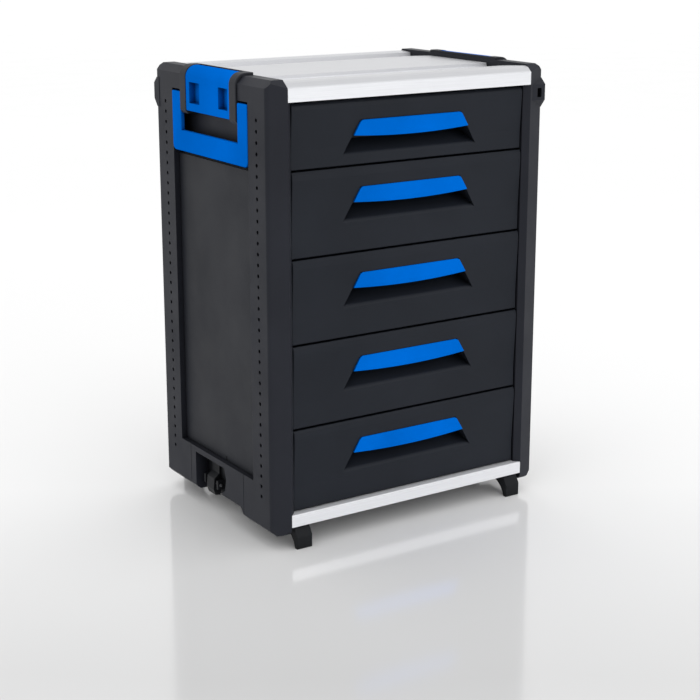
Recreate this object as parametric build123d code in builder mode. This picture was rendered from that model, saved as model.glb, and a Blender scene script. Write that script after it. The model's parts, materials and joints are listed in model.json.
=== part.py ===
from build123d import *
import os

os.makedirs("parts", exist_ok=True)

# Workbench module with five drawers. Millimetres, X across the front (+X right),
# Y from front to back, Z up, origin on the floor in the middle of the footprint.

# Overall sizes
HALF_W = 277.0  # outer side faces
HALF_IN = 244.0  # ends of worktop and front rail
HALF_BAY = 234.5  # inner side faces, beside the drawers
HALF_D = 201.0  # front and rear planes
OUT_D = 188.5  # outer faces end here, the posts slope out to the front plane
BOTTOM = 26.0  # underside of the side frames
TOP = 782.0  # top of the side frames
FIT = 0.2  # gap between neighbouring fixed panels

# Side frame details
TOP_CUT = (15.5, 12.5)  # chamfer over the front and rear top corners, back and down
TOP_BEVEL = 12.0
LOW_BEVEL = 9.0
RECESS_HALF = 130.0
RECESS_DEPTH = 13.0
RECESS_LOW = 108.0
POCKET_DEPTH = 22.0  # finger pocket behind the carry handle
POCKET_LOW = 633.0
POCKET_TOP = 743.5
HOLE_PITCH = 18.0
HOLE_ROWS = 36
HOLE_COLUMNS = 315.0  # spacing of the two columns
HOLE_LOW = 88.0
HOLE_R = 3.25
HOLE_DEPTH = 12.0

# Latch, its surround and the carry handle, all drawn on the left side
HOUSE_HALF = 97.5  # half width of the latch surround
LATCH_HALF = 75.5
LATCH_LOW = 710.5
HOUSE_LOW = 704.0
HOUSE_TOP = 786.5
LATCH_AXIS = (-263.5, 771.0)  # X and Z of the latch hinge
LATCH_POCKETS = ((-69.0, -38.0), (28.0, 64.0))  # Y ranges of the two pockets in its face
POCKET_IN = 11.0  # depth of those pockets
GRIP_AXIS = (-271.2, 733.0)  # X and Z of the carry handle hinge
PIN_R = 3.0
BORE_R = 3.05

# Lower socket and the catch inside it
SOCKET_DEPTH = 27.0
SOCKET_BACK = 78.0
SOCKET_TOP = 98.0
BOSS_END = 198.8  # rear face of the slotted boss

# Drawers, from the top one down
DRAWERS = 5
BAY = 144.0
DRAWER_LOW = [637.5 - BAY * k for k in range(DRAWERS)]
DRAWER_H = [106.0, 141.0, 141.0, 141.0, 141.0]
TRAY_H = [84.0, 112.0, 112.0, 112.0, 112.0]
FRONT_HALF = 233.0
FRONT_BACK = -170.0
TRAY_HALF = 221.3
TRAY_REAR = 160.0
TRAY_WALL = 2.5
SLIDE_Z = 38.0  # slide centre above the lower edge of the drawer front

# Feet
FOOT_IN = 208.0
FOOT_OUT = 237.3
FOOT_TOP = 38.4


def box_cut(x0, x1, y0, y1, z0, z1, mode=Mode.SUBTRACT):
    """Box between two corners, inside the part being built."""
    with Locations(((x0 + x1) / 2, (y0 + y1) / 2, (z0 + z1) / 2)):
        Box(x1 - x0, y1 - y0, z1 - z0, mode=mode)


def save(part, name):
    part.label = name
    export_step(part, f"parts/{name}.step")


def turned(part):
    """The same moulding used on the right side, turned half a turn about Z."""
    with BuildPart() as other:
        add(part.rotate(Axis.Z, 180))
    return other.part


def mirrored(part, plane):
    with BuildPart() as other:
        add(mirror(part, about=plane))
    return other.part


# ---------------------------------------------------------------- side frame
def side_frame():
    with BuildPart() as frame:
        with BuildSketch(Plane.XY.offset(BOTTOM)):
            with BuildLine():
                Polyline(
                    (-HALF_W, -OUT_D),
                    (-HALF_IN, -HALF_D),
                    (-HALF_BAY, -HALF_D + HALF_IN - HALF_BAY),
                    (-HALF_BAY, HALF_D - HALF_IN + HALF_BAY),
                    (-HALF_IN, HALF_D),
                    (-HALF_W, OUT_D),
                    close=True,
                )
            make_face()
        extrude(amount=TOP - BOTTOM)
        outer = frame.edges().filter_by(Axis.Z).group_by(Axis.X)[0].sort_by(Axis.Y)
        fillet(outer[0], radius=8)
        fillet(outer[1], radius=2)
        # top corners cut off front and back, small cuts at the foot
        with BuildSketch(Plane.YZ.offset(-HALF_W - 5)):
            with BuildLine():
                Polyline(
                    (-HALF_D, BOTTOM + 7),
                    (-HALF_D, TOP - TOP_CUT[1]),
                    (-HALF_D + TOP_CUT[0], TOP),
                    (HALF_D - TOP_CUT[0], TOP),
                    (HALF_D, TOP - TOP_CUT[1]),
                    (HALF_D, BOTTOM + 7),
                    (HALF_D - 6, BOTTOM),
                    (-HALF_D + 6, BOTTOM),
                    close=True,
                )
            make_face()
        extrude(amount=HALF_W, mode=Mode.INTERSECT)
        # bevels along the outer top and bottom edges
        with BuildSketch(Plane.XZ.offset(-HALF_D)):
            with BuildLine():
                Polyline(
                    (-HALF_W, BOTTOM + LOW_BEVEL),
                    (-HALF_W, TOP - TOP_BEVEL),
                    (-HALF_W + TOP_BEVEL, TOP),
                    (-HALF_BAY + 1, TOP),
                    (-HALF_BAY + 1, BOTTOM),
                    (-HALF_W + LOW_BEVEL, BOTTOM),
                    close=True,
                )
            make_face()
        extrude(amount=2 * HALF_D, mode=Mode.INTERSECT)
        # seats for the worktop above and the rail and base below
        box_cut(-HALF_IN, -HALF_BAY + 1, -HALF_D - 1, HALF_D + 1, 746.5, TOP + 1)
        box_cut(-HALF_IN, -HALF_BAY + 1, -HALF_D - 1, HALF_D + 1, BOTTOM - 1, 60.4)
        # recessed field, finger pocket and the seat of the latch surround
        half = RECESS_HALF + 0.6
        box_cut(-HALF_W - 1, -HALF_W + RECESS_DEPTH, -half, half, RECESS_LOW, POCKET_LOW + 1)
        box_cut(-HALF_W - 1, -HALF_W + POCKET_DEPTH, -half, half, POCKET_LOW, POCKET_TOP)
        seat = HOUSE_HALF + FIT
        box_cut(-HALF_W - 1, -246.0, -seat, seat, HOUSE_LOW - FIT, TOP + 1)
        # columns of small holes at the two edges of the outer face
        with BuildSketch(Plane.YZ.offset(-HALF_W)):
            with Locations((0, HOLE_LOW + HOLE_PITCH * (HOLE_ROWS - 1) / 2)):
                with GridLocations(HOLE_COLUMNS, HOLE_PITCH, 2, HOLE_ROWS):
                    Circle(HOLE_R)
        extrude(amount=HOLE_DEPTH, mode=Mode.SUBTRACT)
        # seats of the carry handle pins
        with BuildSketch(Plane.XZ.offset(-145)):
            with Locations(GRIP_AXIS):
                Circle(PIN_R)
        extrude(amount=290, mode=Mode.SUBTRACT)
        # hollow bays between the slides, open to the inside
        for low in DRAWER_LOW[1:]:
            high = min(low + 157, 628)
            box_cut(-250, -HALF_BAY + 1, -158, 158, low + 66, high)
    with BuildPart() as trimmed:
        add(frame.part)
        # socket, open at the bottom
        with BuildSketch(Plane.YZ.offset(-HALF_W - 1)):
            with BuildLine():
                Polyline(
                    (SOCKET_BACK, BOTTOM - 1),
                    (SOCKET_BACK, SOCKET_TOP),
                    (-27.5, SOCKET_TOP),
                    (-34.5, SOCKET_TOP - 20),
                    (-29, SOCKET_TOP - 42),
                    (-15, BOTTOM + 20),
                    (-15, BOTTOM - 1),
                    close=True,
                )
            make_face()
        extrude(amount=SOCKET_DEPTH + 1, mode=Mode.SUBTRACT)
        # shallow arch in the lower edge beside the socket
        with BuildSketch(Plane.YZ.offset(-HALF_W - 1)):
            with BuildLine():
                Polyline(
                    (-14, BOTTOM - 1),
                    (-14, BOTTOM + 20),
                    (-82, BOTTOM + 20),
                    (-87, BOTTOM + 18),
                    (-94, BOTTOM + 9),
                    (-97, BOTTOM - 1),
                    close=True,
                )
            make_face()
        extrude(amount=45, mode=Mode.SUBTRACT)
        # joint lines of the lower block
        for y in (-96, 96):
            box_cut(-HALF_W - 1, -HALF_W + 1, y - 0.6, y + 0.6, BOTTOM + 10, RECESS_LOW)
        # slotted boss that fills the sloped rear corner
        with BuildSketch(Plane.YZ.offset(-HALF_W - 0.8)):
            with BuildLine():
                Polyline(
                    (180, 706),
                    (188, 706),
                    (BOSS_END, 719.5),
                    (BOSS_END, 746.5),
                    (188, 757),
                    (180, 757),
                    close=True,
                )
            make_face()
        extrude(amount=27.5)
        with BuildSketch(Plane.XZ.offset(-BOSS_END - 1)):
            with Locations((-265.5, 732.4)):
                RectangleRounded(9.2, 16, 2)
        extrude(amount=15, mode=Mode.SUBTRACT)
    return trimmed.part


left_frame = side_frame()
save(left_frame, "left_side_frame")
save(turned(left_frame), "right_side_frame")


# ---------------------------------------------------------------- side inlay
def side_inlay():
    face = -HALF_W + RECESS_DEPTH
    with BuildPart() as inlay:
        box_cut(face - 3, face, -129.4, 129.4, RECESS_LOW + 0.8, 631, Mode.ADD)
        edges = inlay.edges().filter_by(Axis.X)
        fillet(edges, radius=3)
        # key notch in the lower edge
        box_cut(face - 4, face + 1, -21, -19, RECESS_LOW, RECESS_LOW + 9)
    return inlay.part


left_inlay = side_inlay()
save(left_inlay, "left_side_inlay")
save(turned(left_inlay), "right_side_inlay")


# ------------------------------------------------------------------- worktop
def worktop():
    """Extruded aluminium top: hooked lips front and back, two long steps."""
    low, lip = 747.5, 769.3
    outer = [
        (-HALF_D, low),
        (-HALF_D, lip),
        (-192, 777),
        (-185, 779),
        (-154, 777),
        (-125, 774.6),
        (-77, 769),
        (-76, 775.6),
        (95, 775.6),
        (158, 770.5),
        (159, 777.3),
        (185, 779),
        (192, 777),
        (HALF_D, lip),
        (HALF_D, low),
    ]
    inner = [
        (HALF_D - 3, low),
        (HALF_D - 3, 767.8),
        (190.6, 774),
        (184.8, 775.8),
        (162, 774.2),
        (161, 766.8),
        (95, 771.6),
        (-72.6, 772),
        (-74, 765.4),
        (-77.3, 765.4),
        (-125.4, 771.2),
        (-154, 773.6),
        (-184.8, 775.8),
        (-190.6, 774),
        (-HALF_D + 3, 767.8),
        (-HALF_D + 3, low),
    ]
    half = HALF_IN - FIT
    with BuildPart() as top:
        with BuildSketch(Plane.YZ.offset(-half)):
            with BuildLine():
                Polyline(*outer, *inner, close=True)
            make_face()
        extrude(amount=2 * half)
    return top.part


save(worktop(), "worktop")


# ------------------------------------------------- front rail, base and back
def front_rail():
    half = HALF_IN - FIT
    with BuildPart() as rail:
        with BuildSketch(Plane.YZ.offset(-half)):
            with BuildLine():
                Polyline(
                    (-HALF_D, 38.6),
                    (-HALF_D, 58.6),
                    (-HALF_D + 1.4, 60),
                    (-178, 60),
                    (-178, 57),
                    (-HALF_D + 3, 57),
                    (-HALF_D + 3, 41.6),
                    (-190, 41.6),
                    (-190, 38.6),
                    close=True,
                )
            make_face()
        extrude(amount=2 * half)
    return rail.part


save(front_rail(), "bottom_front_rail")

FOOT_SCREWS = [(x, y) for x in (-222.6, 222.6) for y in (-179.0, 179.0)]


def base_plate():
    half = HALF_IN - FIT
    with BuildPart() as base:
        box_cut(-half, half, -190 + FIT, 188, FOOT_TOP + FIT, 41.6, Mode.ADD)
        with BuildSketch(Plane.XY.offset(30)):
            with Locations(*FOOT_SCREWS):
                Circle(2.5)
        extrude(amount=20, mode=Mode.SUBTRACT)
    return base.part


save(base_plate(), "base_plate")

BACK_FRONT = HALF_D - HALF_IN + HALF_BAY - 22.5  # front face of the back panel
BACK_SCREW_Z = [130, 310, 490, 670]


def rear_panel():
    with BuildPart() as back:
        box_cut(-HALF_BAY + FIT, HALF_BAY - FIT, 169, 172, 42, 746, Mode.ADD)
        # folded flanges along both upright edges take the screws
        for side in (-1, 1):
            x0, x1 = sorted((side * (HALF_BAY - FIT - 1.5), side * (HALF_BAY - FIT)))
            box_cut(x0, x1, 172, 188, 62, 744, Mode.ADD)
        # vent slots
        with BuildSketch(Plane.XZ.offset(-168)):
            with Locations((0, 640)):
                with GridLocations(60, 14, 5, 3):
                    SlotOverall(44, 5)
        extrude(amount=-6, mode=Mode.SUBTRACT)
        with BuildSketch(Plane.YZ.offset(-240)):
            with Locations(*[(180, z) for z in BACK_SCREW_Z]):
                Circle(2)
        extrude(amount=480, mode=Mode.SUBTRACT)
    return back.part


save(rear_panel(), "rear_panel")


def rear_panel_screws():
    """Eight pan head screws through the flanges, four a side."""
    with BuildPart() as screws:
        for side in (-1, 1):
            flange = side * (HALF_BAY - FIT - 1.5)
            with BuildSketch(Plane.YZ.offset(flange)):
                with Locations(*[(180, z) for z in BACK_SCREW_Z]):
                    Circle(2)
            extrude(amount=side * 1.6)
            with BuildSketch(Plane.YZ.offset(flange)):
                with Locations(*[(180, z) for z in BACK_SCREW_Z]):
                    Circle(4)
            extrude(amount=-side * 2.2)
    return screws.part


save(rear_panel_screws(), "rear_panel_screws")


# ---------------------------------------------------------------------- feet
def front_left_foot():
    """Hook shaped foot: upright toe, hollow heel sweeping up under the base."""
    toe = -HALF_D - 6
    with BuildPart() as foot:
        with BuildSketch(Plane.YZ.offset(-FOOT_OUT)):
            with BuildLine():
                Polyline((-150, FOOT_TOP), (-196, FOOT_TOP), (toe, 21), (toe, 1), (toe + 1, 0))
                Polyline((toe + 1, 0), (toe + 8, 0))
                ThreePointArc((toe + 8, 0), (-188, 18), (-164, 28))
                Polyline((-164, 28), (-150, 30), (-150, FOOT_TOP))
            make_face()
        extrude(amount=FOOT_OUT - FOOT_IN)
        corner = foot.edges().filter_by(Axis.Z).group_by(Axis.Y)[0]
        fillet(corner, radius=1.5)
        with BuildSketch(Plane.XY.offset(FOOT_TOP)):
            with Locations(FOOT_SCREWS[0]):
                Circle(2.5)
        extrude(amount=-7, mode=Mode.SUBTRACT)
    return foot.part


foot = front_left_foot()
save(foot, "front_left_foot")
save(mirrored(foot, Plane.YZ), "front_right_foot")
save(mirrored(foot, Plane.XZ), "rear_left_foot")
save(mirrored(mirrored(foot, Plane.XZ), Plane.YZ), "rear_right_foot")


def foot_screws():
    with BuildPart() as screws:
        with BuildSketch(Plane.XY.offset(FOOT_TOP - 6)):
            with Locations(*FOOT_SCREWS):
                Circle(2.5)
        extrude(amount=41.6 - FOOT_TOP + 6)
        with BuildSketch(Plane.XY.offset(41.6)):
            with Locations(*FOOT_SCREWS):
                Circle(4.8)
                RegularPolygon(1.6, 6, mode=Mode.SUBTRACT)
        extrude(amount=3)
    return screws.part


save(foot_screws(), "foot_screws")


# ------------------------------------------------------------ latch surround
def latch_surround():
    """Two raised cheeks over the top edge, joined by a back plate and a thin top bar."""
    out, inner = -HALF_W - 3, -246 - FIT
    with BuildPart() as house:
        with BuildSketch(Plane.XZ.offset(-HOUSE_HALF)):
            with BuildLine():
                Polyline((inner, HOUSE_LOW), (out + 5, HOUSE_LOW), (out, HOUSE_LOW + 6))
                Line((out, HOUSE_LOW + 6), (out, HOUSE_TOP - 20))
                ThreePointArc(
                    (out, HOUSE_TOP - 20), (out + 5.858, HOUSE_TOP - 5.858), (out + 20, HOUSE_TOP)
                )
                Polyline((out + 20, HOUSE_TOP), (inner, HOUSE_TOP), (inner, HOUSE_LOW))
            make_face()
        extrude(amount=2 * HOUSE_HALF)
        sides = house.faces().filter_by(Axis.Y)
        chamfer(sides.edges().filter_by(lambda e: e.center().Z > 707 and e.center().X < -248), 1.2)
        # cavity of the latch, leaving the back plate below its sweep
        gap = LATCH_HALF + 0.7
        box_cut(out - 1, -249.5, -gap, gap, HOUSE_LOW - 1, HOUSE_TOP + 1)
        box_cut(-250, inner + 1, -gap, gap, 747, HOUSE_TOP - 4.9)
        with BuildSketch(Plane.XZ.offset(-HOUSE_HALF - 1)):
            with Locations(LATCH_AXIS):
                Circle(PIN_R)
        extrude(amount=2 * HOUSE_HALF + 2, mode=Mode.SUBTRACT)
    return house.part


house = latch_surround()
save(house, "left_latch_surround")
save(turned(house), "right_latch_surround")


def y_pin(axis, y0, y1, radius):
    with BuildPart() as pin:
        with BuildSketch(Plane.XZ.offset(-y1)):
            with Locations(axis):
                Circle(radius)
        extrude(amount=y1 - y0)
        chamfer(pin.edges().filter_by(GeomType.CIRCLE), 0.5)
    return pin.part


latch_pin = y_pin(LATCH_AXIS, -HOUSE_HALF + 1, HOUSE_HALF - 1, PIN_R)
save(latch_pin, "left_latch_pin")
save(turned(latch_pin), "right_latch_pin")


# --------------------------------------------------------------------- latch
def latch():
    """Curved plate over the top edge, hinged on two eyes behind its shoulder."""
    out, thick = -279.2, 3.4
    shoulder, crown, end = 766.0, 785.8, -255.2
    r = crown - shoulder
    k = r * 0.70711
    ri = r - thick
    ki = ri * 0.70711
    cx = out + r
    with BuildPart() as plate:
        with BuildSketch(Plane.XZ.offset(-LATCH_HALF)):
            with BuildLine():
                Line((out, LATCH_LOW), (out, shoulder))
                ThreePointArc((out, shoulder), (cx - k, shoulder + k), (cx, crown))
                Polyline((cx, crown), (end, crown), (end, crown - thick), (cx, crown - thick))
                ThreePointArc(
                    (cx, crown - thick), (cx - ki, shoulder + ki), (out + thick, shoulder)
                )
                Polyline(
                    (out + thick, shoulder),
                    (out + thick, LATCH_LOW + 4),
                    (out + thick + 3, LATCH_LOW),
                    (out, LATCH_LOW),
                )
            make_face()
        extrude(amount=2 * LATCH_HALF)
        corners = plate.edges().filter_by(Axis.X).group_by(Axis.Z)[0]
        fillet(corners, radius=3)
        # two deep pockets in the face, each with a thin wall round it
        for y0, y1 in LATCH_POCKETS:
            x0 = out + thick - 0.5
            x1 = out + POCKET_IN
            box_cut(x0, x1 + 1.6, y0 - 1.6, y1 + 1.6, 721.9, 760.6, Mode.ADD)
        for y0, y1 in LATCH_POCKETS:
            box_cut(out - 1, x1, y0, y1, 723.5, 759)
        # hinge eyes, clear of the pockets
        for y, wide in ((-70.7, 4.6), (72, 6)):
            with BuildSketch(Plane.XZ.offset(-y)):
                with BuildLine():
                    Polyline(
                        (out + thick - 1, 744),
                        (out + thick - 1, shoulder),
                        (-270.5, 779.2),
                        (-258, 783.5),
                        (-257.4, 771),
                        (-263.5, 764),
                        close=True,
                    )
                make_face()
                with Locations(LATCH_AXIS):
                    Circle(6.4)
            extrude(amount=wide)
        with BuildSketch(Plane.XZ.offset(-LATCH_HALF - 2)):
            with Locations(LATCH_AXIS):
                Circle(BORE_R)
        extrude(amount=2 * LATCH_HALF + 4, mode=Mode.SUBTRACT)
    return plate.part


left_latch = latch()
save(left_latch, "left_latch")
save(turned(left_latch), "right_latch")


# -------------------------------------------------------------- carry handle
def carry_handle():
    """U shaped folding handle lying in the side, arms up."""
    half, arm, low, high = 130.0, 98.4, 638.2, 740.0
    out, back = -278.6, -264.0
    with BuildPart() as grip:
        with BuildSketch(Plane.YZ.offset(out)):
            with BuildLine():
                Polyline(
                    (-half, low),
                    (half, low),
                    (half, high),
                    (arm, high),
                    (arm, 674),
                    (-arm, 674),
                    (-arm, high),
                    (-half, high),
                    close=True,
                )
            make_face()
        extrude(amount=back - out)
        edges = grip.edges().filter_by(Axis.X)
        low_edges = edges.group_by(Axis.Z)[0]
        fillet(low_edges, radius=10)
        high_edges = grip.edges().filter_by(Axis.X).group_by(Axis.Z)[-1]
        fillet(high_edges, radius=3)
        # rounded front edges
        front = grip.faces().filter_by(Axis.X).sort_by(Axis.X)[0]
        fillet(front.edges(), radius=2)
        with BuildSketch(Plane.XZ.offset(-half - 1)):
            with Locations(GRIP_AXIS):
                Circle(BORE_R)
        extrude(amount=2 * half + 2, mode=Mode.SUBTRACT)
        # thin below the hinge ends, so that fingers reach behind it
        box_cut(out + 7, back + 1, -half - 1, half + 1, low - 1, 714)
    return grip.part


left_handle = carry_handle()
save(left_handle, "left_carry_handle")
save(turned(left_handle), "right_carry_handle")


def handle_pins():
    with BuildPart() as pins:
        for y0, y1 in ((-144, -102), (102, 144)):
            with BuildSketch(Plane.XZ.offset(-y1)):
                with Locations(GRIP_AXIS):
                    Circle(PIN_R)
            extrude(amount=y1 - y0)
    return pins.part


left_pins = handle_pins()
save(left_pins, "left_handle_pins")
save(turned(left_pins), "right_handle_pins")


# --------------------------------------------------- lower catch and its pin
CATCH_AXIS = (-262.5, 51.0)


def lower_catch():
    back = -HALF_W + SOCKET_DEPTH - FIT
    with BuildPart() as catch:
        box_cut(back - 3.5, back, 8, 72, 36, 96, Mode.ADD)
        with BuildSketch(Plane.XZ.offset(-52)):
            with BuildLine():
                Polyline(
                    (back - 3, 92),
                    (back - 7, 92),
                    (back - 8, 68),
                    (-268, 60),
                    (-270, 40),
                    (-266, 29),
                    (-257, 28),
                    (back - 3, 40),
                    close=True,
                )
            make_face()
        extrude(amount=26)
        for y in (16, 62):
            box_cut(-268, back - 3, y - 3, y + 3, 43, 59, Mode.ADD)
        with BuildSketch(Plane.XZ.offset(-80)):
            with Locations(CATCH_AXIS):
                Circle(3)
        extrude(amount=80, mode=Mode.SUBTRACT)
    return catch.part


left_catch = lower_catch()
save(left_catch, "left_lower_catch")
save(turned(left_catch), "right_lower_catch")
catch_pin = y_pin(CATCH_AXIS, 11, 67, 3)
save(catch_pin, "left_catch_pin")
save(turned(catch_pin), "right_catch_pin")


# -------------------------------------------------------------- drawer slides
def channel(web_in, web_out, lip, half_h, thick, y0, y1, z):
    """C shaped slide member, right side, with its mirror on the left."""
    with BuildPart() as rail:
        with BuildSketch(Plane.XZ.offset(-y1)):
            with Locations(((web_in + web_out) / 2, z)):
                Rectangle(web_out - web_in, 2 * half_h)
            x0, x1 = sorted((lip, web_in + thick / 2))
            for zc in (z - half_h + thick / 2, z + half_h - thick / 2):
                with Locations(((x0 + x1) / 2, zc)):
                    Rectangle(x1 - x0, thick)
        extrude(amount=y1 - y0)
        mirror(about=Plane.YZ)
    return rail.part


for k in range(DRAWERS):
    z = DRAWER_LOW[k] + SLIDE_Z
    number = k + 1
    save(channel(233.3, HALF_BAY, 225.0, 21.0, 1.2, -168, 164, z), f"slide_outer_{number}")
    save(channel(230.8, 232.0, 224.0, 19.2, 1.2, -168, 160, z), f"slide_middle_{number}")
    save(channel(TRAY_HALF, 222.6, 229.6, 17.4, 1.2, -169, 156, z), f"drawer_{number}_runners")


# -------------------------------------------------------------------- drawers
GRIP_TOP = 33.0  # upper edge of the grip below the upper edge of the front
GRIP_H = 24.5
GRIP_BOW = 5.0  # sag of the grip's lower edge
SCOOP_LOW = 54.5  # lower edge of the finger scoop below the grip's upper edge
SCOOP_DEPTH = 38.0
SCOOP_RISE = 19.5  # the scoop floor climbs by this much towards its back
GRIP_TOP_HALF = 101.5
SCOOP_HALF = 133.7
SIDE_SLOPE = (SCOOP_HALF - GRIP_TOP_HALF) / SCOOP_LOW
FACE = -188.5
BULGE = -192.5
BLOCK_BACK = -148.0  # back of the deep part of the front, which the tray meets


def finger_scoop(grip_z):
    """Wedge shaped scoop behind the grip, its floor climbing inward from a rounded lip."""
    low = grip_z - SCOOP_LOW
    back = FACE + SCOOP_DEPTH
    lip = SCOOP_HALF + 4 * SIDE_SLOPE
    with BuildPart() as scoop:
        with BuildSketch(Plane.YZ.offset(-SCOOP_HALF - 6)):
            with BuildLine():
                Line((-200, low - 4), (-188.9, low - 4))
                ThreePointArc((-188.9, low - 4), (-187.6, low - 0.9), (-184.5, low + 2.05))
                Line((-184.5, low + 2.05), (back, low + SCOOP_RISE))
                Polyline((back, low + SCOOP_RISE), (back, grip_z - 6), (FACE, grip_z - 6))
                Polyline((FACE, grip_z - 6), (FACE, grip_z), (-200, grip_z), (-200, low - 4))
            make_face()
        extrude(amount=2 * SCOOP_HALF + 12)
        with BuildSketch(Plane.XZ.offset(145)):
            with BuildLine():
                Polyline(
                    (-lip, low - 4),
                    (-GRIP_TOP_HALF, grip_z),
                    (GRIP_TOP_HALF, grip_z),
                    (lip, low - 4),
                    close=True,
                )
            make_face()
        extrude(amount=60, mode=Mode.INTERSECT)
    return scoop.part


def drawer_front(low, height, tray_height):
    grip_z = low + height - GRIP_TOP
    with BuildPart() as front:
        with BuildSketch(Plane.YZ.offset(-FRONT_HALF)):
            with BuildLine():
                Polyline(
                    (FRONT_BACK, low),
                    (FACE + 1.2, low),
                    (FACE, low + 1.2),
                    (FACE, low + 0.3 * height),
                    (BULGE, low + 0.9 * height),
                    (BULGE + 0.8, low + height - 4),
                    (BULGE + 3.2, low + height),
                    (FRONT_BACK, low + height),
                    close=True,
                )
            make_face()
        extrude(amount=2 * FRONT_HALF)
        ends = front.faces().filter_by(Axis.X)
        chamfer(ends.edges().filter_by(lambda e: e.center().Y < FACE + 2), 1.0)
        # deep part between the slides, which holds the scoop
        top = low + tray_height
        box_cut(-TRAY_HALF, TRAY_HALF, FRONT_BACK, BLOCK_BACK, low + 7, top, Mode.ADD)
        add(finger_scoop(grip_z), mode=Mode.SUBTRACT)
        # lightening pockets in the back, either side of the scoop
        for side in (-1, 1):
            x0, x1 = sorted((side * 145, side * 212))
            box_cut(x0, x1, -184, BLOCK_BACK + 1, low + 12, top - 5)
    return front.part


def drawer_grip(low, height):
    """Pull plate over the upper part of the scoop, rounded above and bowed below."""
    top = low + height - GRIP_TOP
    bot = top - GRIP_H
    half_top = GRIP_TOP_HALF - 0.4
    half_low = half_top + SIDE_SLOPE * GRIP_H
    with BuildPart() as grip:
        with BuildSketch(Plane.YZ.offset(-150)):
            with BuildLine():
                Polyline(
                    (-188.6, top - 0.3),
                    (-192.6, top - 0.3),
                    (-193.6, top - 1.6),
                    (-193.8, bot + 2),
                    (-193.0, bot - 6),
                    (-190.8, bot - 6),
                    (-190.4, bot + 4),
                    (-188.6, top - 8),
                    close=True,
                )
            make_face()
        extrude(amount=300)
        with BuildSketch(Plane.XZ.offset(180)):
            with BuildLine():
                Polyline(
                    (-half_low, bot),
                    (-half_top, top - 0.3),
                    (half_top, top - 0.3),
                    (half_low, bot),
                )
                ThreePointArc((half_low, bot), (0, bot - GRIP_BOW), (-half_low, bot))
            outline = make_face()
            fillet(outline.vertices().group_by(Axis.Y)[-1], radius=9)
        extrude(amount=30, mode=Mode.INTERSECT)
    return grip.part


def drawer_tray(low, height):
    with BuildPart() as tray:
        floor = low + 6
        box_cut(-TRAY_HALF, TRAY_HALF, BLOCK_BACK, TRAY_REAR, floor, floor + height, Mode.ADD)
        upright = tray.edges().filter_by(Axis.Z).group_by(Axis.Y)[-1]
        fillet(upright, radius=4)
        box_cut(
            -TRAY_HALF + TRAY_WALL,
            TRAY_HALF - TRAY_WALL,
            BLOCK_BACK + TRAY_WALL,
            TRAY_REAR - TRAY_WALL,
            floor + TRAY_WALL,
            floor + height + 1,
        )
    return tray.part


for k in range(DRAWERS):
    number = k + 1
    save(drawer_front(DRAWER_LOW[k], DRAWER_H[k], TRAY_H[k]), f"drawer_{number}_front")
    save(drawer_grip(DRAWER_LOW[k], DRAWER_H[k]), f"drawer_{number}_grip")
    save(drawer_tray(DRAWER_LOW[k], TRAY_H[k]), f"drawer_{number}_tray")
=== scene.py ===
import json
import math

import bmesh
import bpy
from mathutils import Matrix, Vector

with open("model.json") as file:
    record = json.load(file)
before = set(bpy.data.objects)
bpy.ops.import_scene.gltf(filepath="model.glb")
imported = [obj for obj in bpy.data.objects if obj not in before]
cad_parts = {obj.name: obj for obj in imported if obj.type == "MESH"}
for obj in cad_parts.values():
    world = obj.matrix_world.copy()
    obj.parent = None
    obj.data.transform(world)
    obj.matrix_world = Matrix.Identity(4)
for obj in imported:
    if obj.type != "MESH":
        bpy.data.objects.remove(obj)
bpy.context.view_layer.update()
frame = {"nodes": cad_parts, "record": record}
nodes = frame["nodes"]

# ------------------------------------------------------------------ materials

# sockets of the Mix node when it mixes colours
COLOUR_A = 6
COLOUR_B = 7
COLOUR_OUT = 2

BEVEL_SAMPLES = 4
SKY_SAMPLES = 6
EDGE_WEAR = 0.0011  # metres of rubbed edge
PAINTED_SHADE_REACH = 0.03  # metres within which a neighbour paints shade onto a surface
GRAIN_HEIGHT = 0.00012
BRUSH_HEIGHT = 0.00004
ROLL_HEIGHT = 0.00006
PEEL_HEIGHT = 0.0002
WORKTOP_FACE = 0.7715  # above this height the worktop's aluminium gets painted shade, darker than its lit front lip
PAINTED_SHADE_STEP = 0.003
PAINTED_SHADE_METAL = (0.25, 0.25, 0.26)
ALONG_X = 0
ALONG_Y = 1


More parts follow.
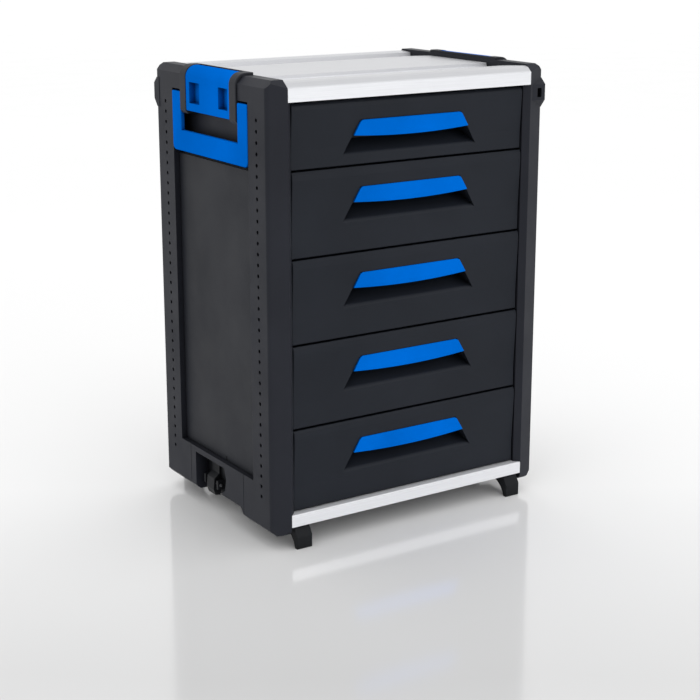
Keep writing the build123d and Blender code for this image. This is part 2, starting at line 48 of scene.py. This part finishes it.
class Tree:
    """Small helper that adds nodes to one material and links them."""

    def __init__(self, name):
        self.material = bpy.data.materials.new(name)
        self.material.use_nodes = True
        self.tree = self.material.node_tree
        self.shader = self.tree.nodes["Principled BSDF"]
        self.coords = self.tree.nodes.new("ShaderNodeTexCoord").outputs["Object"]

    def link(self, a, b):
        self.tree.links.new(a, b)

    def stretched(self, scale):
        node = self.tree.nodes.new("ShaderNodeMapping")
        node.inputs["Scale"].default_value = scale
        self.link(self.coords, node.inputs["Vector"])
        return node.outputs["Vector"]

    def noise(self, scale, detail=3.0, vector=None, rough=0.5, distortion=0.0):
        node = self.tree.nodes.new("ShaderNodeTexNoise")
        node.inputs["Scale"].default_value = scale
        node.inputs["Detail"].default_value = detail
        node.inputs["Roughness"].default_value = rough
        node.inputs["Distortion"].default_value = distortion
        self.link(vector or self.coords, node.inputs["Vector"])
        return node.outputs["Fac"]

    def cells(self, scale):
        node = self.tree.nodes.new("ShaderNodeTexVoronoi")
        node.inputs["Scale"].default_value = scale
        self.link(self.coords, node.inputs["Vector"])
        return node.outputs["Distance"]

    def place(self, axis):
        """The object coordinate along one axis, in metres."""
        node = self.tree.nodes.new("ShaderNodeSeparateXYZ")
        self.link(self.coords, node.inputs["Vector"])
        return node.outputs[axis]

    def ramp(self, value, low, high, out_low=0.0, out_high=1.0):
        node = self.tree.nodes.new("ShaderNodeMapRange")
        node.inputs["From Min"].default_value = low
        node.inputs["From Max"].default_value = high
        node.inputs["To Min"].default_value = out_low
        node.inputs["To Max"].default_value = out_high
        self.link(value, node.inputs["Value"])
        return node.outputs["Result"]

    def maths(self, operation, a, b):
        node = self.tree.nodes.new("ShaderNodeMath")
        node.operation = operation
        for socket, value in zip(node.inputs, (a, b)):
            if isinstance(value, (int, float)):
                socket.default_value = value
            else:
                self.link(value, socket)
        return node.outputs["Value"]

    def mix(self, share, a, b):
        node = self.tree.nodes.new("ShaderNodeMix")
        node.data_type = "RGBA"
        sockets = (node.inputs["Factor"], node.inputs[COLOUR_A], node.inputs[COLOUR_B])
        for socket, value in zip(sockets, (share, a, b)):
            if isinstance(value, tuple):
                socket.default_value = (*value, 1.0)
            elif isinstance(value, (int, float)):
                socket.default_value = value
            else:
                self.link(value, socket)
        return node.outputs[COLOUR_OUT]

    def edges(self, radius):
        """1 along sharp edges, 0 on flat faces."""
        low, high = 0.02, 0.3  # how far the rounded normal leans from the true one
        bevel = self.tree.nodes.new("ShaderNodeBevel")
        bevel.samples = BEVEL_SAMPLES
        bevel.inputs["Radius"].default_value = radius
        geometry = self.tree.nodes.new("ShaderNodeNewGeometry")
        dot = self.tree.nodes.new("ShaderNodeVectorMath")
        dot.operation = "DOT_PRODUCT"
        self.link(bevel.outputs["Normal"], dot.inputs[0])
        self.link(geometry.outputs["Normal"], dot.inputs[1])
        return self.ramp(self.maths("SUBTRACT", 1.0, dot.outputs["Value"]), low, high)

    def open_sky(self, distance):
        """1 where the surface lies open, falling to 0 deep in hollows; used to paint shade into
        the colour.
        """
        node = self.tree.nodes.new("ShaderNodeAmbientOcclusion")
        node.samples = SKY_SAMPLES
        node.inputs["Distance"].default_value = distance
        return node.outputs["AO"]

    def bump(self, height, strength, distance, rounding=None):
        node = self.tree.nodes.new("ShaderNodeBump")
        node.inputs["Strength"].default_value = strength
        node.inputs["Distance"].default_value = distance
        self.link(height, node.inputs["Height"])
        if rounding:
            bevel = self.tree.nodes.new("ShaderNodeBevel")
            bevel.samples = BEVEL_SAMPLES
            bevel.inputs["Radius"].default_value = rounding
            self.link(bevel.outputs["Normal"], node.inputs["Normal"])
        self.link(node.outputs["Normal"], self.shader.inputs["Normal"])

    def set(self, **values):
        for name, value in values.items():
            socket = self.shader.inputs[name.replace("_", " ")]
            if isinstance(value, tuple):
                socket.default_value = (*value, 1.0)
            elif isinstance(value, (int, float)):
                socket.default_value = value
            else:
                self.link(value, socket)


def scaled(colour, by):
    return tuple(min(1.0, c * by) for c in colour)


def moulded_plastic(name, colour, rough=(0.42, 0.54), grain=1400.0, bump=0.25, wear=0.3,
                    specular=0.14, rounding=0.0009, painted_hollow_shade=0.35):
    """Moulded plastic: spark eroded grain, faint clouds, rubbed edges, painted shade in
    hollows.
    """
    t = Tree(name)
    cloud = t.noise(7.0, 4.0)
    fine = t.noise(grain, 2.0)
    speck = t.cells(grain * 0.6)
    tone = t.mix(t.ramp(cloud, 0.35, 0.65), scaled(colour, 0.9), scaled(colour, 1.12))
    tone = t.mix(t.ramp(fine, 0.3, 0.75, 0.0, 0.35), tone, scaled(colour, 1.5))
    rubbed = t.maths("MULTIPLY", t.edges(EDGE_WEAR), t.ramp(t.noise(38.0, 5.0), 0.42, 0.62))
    tone = t.mix(t.maths("MULTIPLY", rubbed, wear), tone, scaled(colour, 2.6))
    # painted shade: the colour darkens where the surface lies in a hollow, as shade would fall
    # there
    tone = t.mix(t.ramp(t.open_sky(PAINTED_SHADE_REACH), 0.25, 0.8), scaled(colour, painted_hollow_shade), tone)
    low, high = rough
    roughness = t.ramp(t.noise(11.0, 5.0, rough=0.6), 0.3, 0.7, low, high)
    roughness = t.maths("SUBTRACT", roughness, t.maths("MULTIPLY", rubbed, 0.1))
    t.set(Base_Color=tone, Roughness=roughness, Specular_IOR_Level=specular)
    t.bump(t.maths("ADD", fine, t.maths("MULTIPLY", speck, 0.8)), bump, GRAIN_HEIGHT, rounding)
    return t.material


def brushed_metal(name, colour, along, rough, metallic=1.0, painted_shade_above=None):
    """Drawn or brushed metal: long fine lines along one axis, light smudges."""
    lines = 650.0
    t = Tree(name)
    stretch = [1.0, 1.0, 1.0]
    stretch[along] = 0.012
    lined = t.stretched(tuple(stretch))
    fine = t.noise(lines * 2.4, 2.0, lined)
    broad = t.noise(lines * 0.45, 3.0, lined)
    both = t.maths("ADD", t.maths("MULTIPLY", fine, 0.55), t.maths("MULTIPLY", broad, 0.45))
    smudge = t.noise(9.0, 5.0, rough=0.62, distortion=0.4)
    tone = t.mix(t.ramp(both, 0.36, 0.64), scaled(colour, 0.95), scaled(colour, 1.03))
    tone = t.mix(t.ramp(smudge, 0.5, 0.75, 0.0, 0.06), tone, scaled(colour, 0.75))
    # painted shade: above the given height the metal's colour is pulled towards a dark grey
    if painted_shade_above:
        painted_shade = t.ramp(t.place("Z"), painted_shade_above - PAINTED_SHADE_STEP, painted_shade_above, 0.0, 0.42)
        tone = t.mix(painted_shade, tone, PAINTED_SHADE_METAL)
    low, high = rough
    uneven = t.maths("ADD", t.maths("MULTIPLY", both, 0.7), t.maths("MULTIPLY", smudge, 0.3))
    roughness = t.ramp(uneven, 0.35, 0.65, low, high)
    t.set(Base_Color=tone, Roughness=roughness, Metallic=metallic)
    t.bump(both, 0.12, BRUSH_HEIGHT, 0.0006)
    return t.material


def zinc_steel(name, colour):
    """Plated sheet: soft spangles, faint rolling lines."""
    t = Tree(name)
    spangle = t.cells(160.0)
    rolled = t.noise(900.0, 2.0, t.stretched((1.0, 0.02, 1.0)))
    tone = t.mix(t.ramp(spangle, 0.0, 0.6), scaled(colour, 0.86), scaled(colour, 1.08))
    uneven = t.maths("ADD", t.maths("MULTIPLY", spangle, 0.4), t.maths("MULTIPLY", rolled, 0.6))
    roughness = t.ramp(uneven, 0.2, 0.7, 0.24, 0.42)
    t.set(Base_Color=tone, Roughness=roughness, Metallic=1.0)
    t.bump(rolled, 0.1, ROLL_HEIGHT, 0.0004)
    return t.material


def powder_coat(name, colour):
    """Painted sheet with orange peel."""
    t = Tree(name)
    peel = t.noise(420.0, 2.0)
    dust = t.noise(16.0, 5.0, rough=0.65)
    tone = t.mix(t.ramp(dust, 0.4, 0.7, 0.0, 0.4), colour, scaled(colour, 1.5))
    roughness = t.ramp(dust, 0.3, 0.7, 0.38, 0.52)
    t.set(Base_Color=tone, Roughness=roughness, Specular_IOR_Level=0.4)
    t.bump(peel, 0.25, PEEL_HEIGHT, 0.0008)
    return t.material


NEAR_BLACK = (0.018, 0.0195, 0.026)

MATERIALS = {
    "anthracite_plastic": moulded_plastic("anthracite_plastic", NEAR_BLACK),
    "inlay_plastic": moulded_plastic("inlay_plastic", (0.018, 0.0195, 0.0245), grain=1800.0),
    "surround_plastic": moulded_plastic("surround_plastic", (0.022, 0.0235, 0.029)),
    "foot_plastic": moulded_plastic("foot_plastic", (0.010, 0.011, 0.013), rough=(0.5, 0.62)),
    # painted shade: the catch's colour is darker than the frame's plastic so that it reads as
    # deep in its shaded socket
    "catch_plastic": moulded_plastic("catch_plastic", (0.010, 0.011, 0.013), rough=(0.35, 0.5)),
    "drawer_plastic": moulded_plastic(
        "drawer_plastic", (0.0128, 0.0152, 0.021), rough=(0.4, 0.5), grain=1700.0
    ),
    "tray_plastic": moulded_plastic("tray_plastic", (0.022, 0.024, 0.029), rough=(0.45, 0.6)),
    "blue_plastic": moulded_plastic(
        "blue_plastic", (0.0, 0.131, 0.6), rough=(0.3, 0.42), grain=2000.0,
        bump=0.12, wear=0.12, specular=0.0, painted_hollow_shade=0.12,
    ),
    "dark_steel_sheet": powder_coat("dark_steel_sheet", (0.022, 0.023, 0.027)),
    "brushed_aluminium": brushed_metal(
        "brushed_aluminium", (0.86, 0.87, 0.90), ALONG_X, rough=(0.32, 0.4), metallic=0.3,
        painted_shade_above=WORKTOP_FACE,
    ),
    "steel_pin": brushed_metal("steel_pin", (0.16, 0.165, 0.175), ALONG_Y, rough=(0.3, 0.42)),
    "slide_steel": zinc_steel("slide_steel", (0.6, 0.61, 0.63)),
}

for part in frame["record"]["subparts"]:
    piece = nodes[part["node"]]
    material = MATERIALS[part["material_slot"]]
    if not piece.material_slots:
        piece.data.materials.append(material)
    for place in piece.material_slots:
        place.material = material

# ---------------------------------------------------------------- floor, light

FLOOR_HALF = 40.0
DEEPER = (0.54, 0.84)  # X and Y of the way from the front left to the back right
PAINTED_SHADE_END = -0.75  # metres that way at which the floor's painted shade is at its greyest
PAINTED_LIGHT_END = 0.0


def floor_material():
    """Pale floor with painted light: a grey sweep that turns white behind the object, standing
    in for light falling off towards the front.
    """
    t = Tree("studio_floor")
    along_x = t.maths("MULTIPLY", t.place("X"), DEEPER[0])
    along_y = t.maths("MULTIPLY", t.place("Y"), DEEPER[1])
    depth = t.maths("ADD", along_x, along_y)
    depth = t.maths("ADD", depth, t.ramp(t.noise(0.9, 3.0), 0.3, 0.7, -0.03, 0.03))
    # painted light and shade: the floor's colour ramps from grey in front to white behind
    tone = t.mix(t.ramp(depth, PAINTED_SHADE_END, PAINTED_LIGHT_END), (0.73, 0.73, 0.73), (0.99, 0.99, 0.99))
    roughness = t.ramp(t.noise(3.0, 4.0), 0.3, 0.7, 0.09, 0.13)
    t.set(Base_Color=tone, Roughness=roughness, Specular_IOR_Level=0.7)
    return t.material


floor_mesh = bpy.data.meshes.new("floor")
build = bmesh.new()
bmesh.ops.create_grid(build, x_segments=2, y_segments=2, size=FLOOR_HALF)
build.to_mesh(floor_mesh)
build.free()
floor_mesh.materials.append(floor_material())
floor = bpy.data.objects.new("floor", floor_mesh)
bpy.context.collection.objects.link(floor)

world = bpy.data.worlds.new("studio")
bpy.context.scene.world = world
world.use_nodes = True
background = world.node_tree.nodes["Background"]
background.inputs["Color"].default_value = (1.0, 1.0, 1.0, 1.0)
background.inputs["Strength"].default_value = 1.0


def softbox(name, place, aim, size, watts):
    data = bpy.data.lights.new(name, "AREA")
    data.shape = "RECTANGLE"
    data.size, data.size_y = size
    data.energy = watts
    lamp = bpy.data.objects.new(name, data)
    bpy.context.collection.objects.link(lamp)
    lamp.location = place
    lamp.rotation_mode = "QUATERNION"
    lamp.rotation_quaternion = (Vector(aim) - Vector(place)).to_track_quat("-Z", "Y")


softbox("overhead_softbox", (-0.6, 1.4, 3.6), (0.0, 0.0, 0.3), (3.2, 3.2), 2.0)
softbox("front_softbox", (0.8, -4.2, 1.6), (0.0, 0.0, 0.5), (2.6, 2.2), 26.0)

# ---------------------------------------------------------------------- camera

CAMERA_PLACE = Vector((-1.4927, -2.2881, 1.0336))
CAMERA_YAW = math.radians(33.169)
CAMERA_PITCH = math.radians(14.47)

camera_data = bpy.data.cameras.new("camera")
camera = bpy.data.objects.new("camera", camera_data)
bpy.context.collection.objects.link(camera)
bpy.context.scene.camera = camera
camera.location = CAMERA_PLACE
looking = Vector((
    math.sin(CAMERA_YAW) * math.cos(CAMERA_PITCH),
    math.cos(CAMERA_YAW) * math.cos(CAMERA_PITCH),
    -math.sin(CAMERA_PITCH),
))
camera.rotation_mode = "QUATERNION"
camera.rotation_quaternion = looking.to_track_quat("-Z", "Y")
camera_data.sensor_width = 36.0
camera_data.lens = 80.08
camera_data.shift_y = -0.05
camera_data.clip_end = 200.0
bpy.context.scene.view_settings.view_transform = "Standard"
